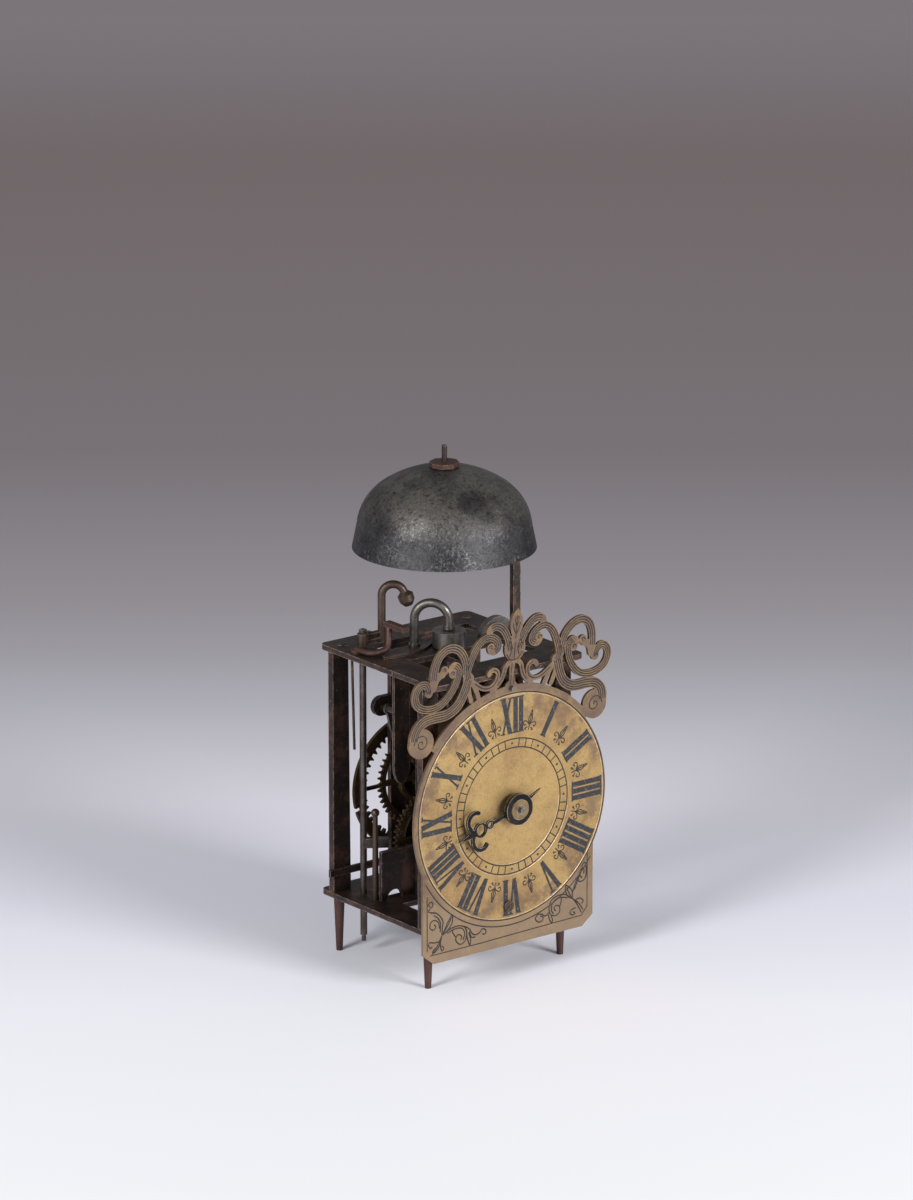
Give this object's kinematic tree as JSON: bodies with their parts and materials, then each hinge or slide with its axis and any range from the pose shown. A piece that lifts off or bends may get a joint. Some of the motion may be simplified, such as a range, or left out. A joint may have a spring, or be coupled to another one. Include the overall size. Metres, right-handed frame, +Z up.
{
  "type": "lantern clock",
  "caption": "Open-framed weight-driven clock movement with a one-hand engraved dial, pierced crest, verge, count-wheel strike and a bell on a side stand",
  "frame": {"origin": "on the ground under the middle of the whole clock", "axes": "+Z up, the dial faces -Y, +X is to the right seen from the front"},
  "size_m": [0.1124, 0.0964, 0.2343],
  "materials": {
    "frame_iron": "aged, dark brown-black, waxed",
    "foot_iron": "rusty brown, dull",
    "dial_brass": "aged golden ochre, engraved",
    "hand_steel": "blackened, worn bright at the edges",
    "washer_brass": "aged, semi-gloss",
    "bell_metal": "dark patina, mottled",
    "bright_steel": "polished, worn grey",
    "rust_iron": "rust brown, dull",
    "arbor_steel": "aged grey steel",
    "hammer_iron": "brown, semi-gloss",
    "wheel_brass": "tarnished",
    "pulley_brass": "tarnished, dark"
  },
  "bodies": {
    "frame": {"top_plate": "frame_iron", "bottom_plate": "frame_iron", "front_left_post": "frame_iron", "front_right_post": "frame_iron", "back_left_post": "frame_iron", "back_right_post": "frame_iron", "front_left_foot": "foot_iron", "front_right_foot": "foot_iron", "back_left_foot": "foot_iron", "back_right_foot": "foot_iron", "front_bar": "frame_iron", "centre_bar": "frame_iron", "back_bar": "frame_iron", "rear_strap": "frame_iron", "side_strap": "frame_iron", "dial_plate": "dial_brass", "dial_screw": "bright_steel", "dial_pin": "bright_steel", "hour_stud": "bright_steel", "bell_stand": "frame_iron", "stand_brace": "bright_steel", "bell": "bell_metal", "bell_nut": "rust_iron", "arch_cock": "bright_steel", "potence": "frame_iron", "stop_spring": "rust_iron", "stake_spring": "rust_iron", "spring_bracket": "frame_iron", "wire_spring": "frame_iron", "strap_spring": "frame_iron", "plate_screw": "rust_iron", "count_stud": "bright_steel"},
    "going_great": {"going_great_wheel": "wheel_brass", "going_great_arbor": "arbor_steel"},
    "going_pulley": {"going_pulley": "pulley_brass"},
    "second": {"second_wheel": "wheel_brass", "second_arbor": "arbor_steel"},
    "crown": {"crown_wheel": "wheel_brass", "crown_arbor": "arbor_steel"},
    "verge": {"verge": "arbor_steel", "balance_collet": "bright_steel"},
    "hour": {"hour_wheel": "wheel_brass"},
    "hand": {"hour_hand": "hand_steel", "hand_collet": "hand_steel", "hand_washer": "washer_brass"},
    "strike_great": {"strike_great_wheel": "wheel_brass", "hammer_pins": "arbor_steel", "strike_great_arbor": "arbor_steel"},
    "strike_pulley": {"strike_pulley": "pulley_brass"},
    "hoop": {"hoop_wheel": "wheel_brass", "hoop_arbor": "arbor_steel"},
    "warning": {"warning_wheel": "wheel_brass", "warning_arbor": "arbor_steel"},
    "fly": {"fly": "wheel_brass", "fly_arbor": "arbor_steel"},
    "count": {"count_wheel": "wheel_brass"},
    "hammer": {"hammer_arbor": "arbor_steel", "hammer_head": "hammer_iron"},
    "locking": {"locking_lever": "arbor_steel"},
    "lifting": {"lifting_lever": "arbor_steel"}
  },
  "joints": [
    {"name": "going_great_spin", "type": "hinge", "parent": "frame", "child": "going_great", "pos_m": [0, -0.0271, 0.0522], "axis": [0, 1, 0], "continuous": true},
    {"name": "going_pulley_spin", "type": "hinge", "parent": "going_great", "child": "going_pulley", "pos_m": [0, -0.0211, 0.0522], "axis": [0, 1, 0], "continuous": true},
    {"name": "second_spin", "type": "hinge", "parent": "frame", "child": "second", "pos_m": [0, -0.0141, 0.07665], "axis": [0, 1, 0], "continuous": true},
    {"name": "crown_spin", "type": "hinge", "parent": "frame", "child": "crown", "pos_m": [0, -0.0061, 0.10095], "axis": [0, 1, 0], "continuous": true},
    {"name": "hour_spin", "type": "hinge", "parent": "frame", "child": "hour", "pos_m": [0, -0.0361, 0.0799], "axis": [0, 1, 0], "continuous": true},
    {"name": "hand_set", "type": "hinge", "parent": "hour", "child": "hand", "pos_m": [0, -0.0441, 0.0799], "axis": [0, 1, 0], "continuous": true},
    {"name": "verge_swing", "type": "hinge", "parent": "frame", "child": "verge", "pos_m": [0, 0.0049, 0.10095], "axis": [0, 0, 1], "range_deg": [-35, 35]},
    {"name": "strike_great_spin", "type": "hinge", "parent": "frame", "child": "strike_great", "pos_m": [0, 0.0159, 0.0522], "axis": [0, 1, 0], "continuous": true},
    {"name": "strike_pulley_spin", "type": "hinge", "parent": "strike_great", "child": "strike_pulley", "pos_m": [0, 0.0219, 0.0522], "axis": [0, 1, 0], "continuous": true},
    {"name": "hoop_spin", "type": "hinge", "parent": "frame", "child": "hoop", "pos_m": [0, 0.0269, 0.07665], "axis": [0, 1, 0], "continuous": true},
    {"name": "warning_spin", "type": "hinge", "parent": "frame", "child": "warning", "pos_m": [0, 0.0209, 0.10095], "axis": [0, 1, 0], "continuous": true},
    {"name": "fly_spin", "type": "hinge", "parent": "frame", "child": "fly", "pos_m": [0, 0.0169, 0.11935], "axis": [0, 1, 0], "continuous": true},
    {"name": "count_spin", "type": "hinge", "parent": "frame", "child": "count", "pos_m": [0, 0.0339, 0.073], "axis": [0, 1, 0], "continuous": true},
    {"name": "hammer_swing", "type": "hinge", "parent": "frame", "child": "hammer", "pos_m": [-0.031, 0.0269, 0.1], "axis": [0, 0, 1], "range_deg": [-2, 20]},
    {"name": "locking_lift", "type": "hinge", "parent": "frame", "child": "locking", "pos_m": [-0.018, 0.0229, 0.112], "axis": [0, -1, 0], "range_deg": [0, 12]},
    {"name": "lifting_lift", "type": "hinge", "parent": "frame", "child": "lifting", "pos_m": [0.018, -0.0071, 0.112], "axis": [0, 1, 0], "range_deg": [0, 12]}
  ],
  "couplings": [
    {"joint": "second_spin", "follows": "going_great_spin", "ratio": -9},
    {"joint": "crown_spin", "follows": "going_great_spin", "ratio": 72},
    {"joint": "hour_spin", "follows": "going_great_spin", "ratio": -0.083333},
    {"joint": "hoop_spin", "follows": "strike_great_spin", "ratio": -6.5},
    {"joint": "warning_spin", "follows": "strike_great_spin", "ratio": 52},
    {"joint": "fly_spin", "follows": "strike_great_spin", "ratio": -346.67},
    {"joint": "count_spin", "follows": "strike_great_spin", "ratio": 0.16667}
  ]
}
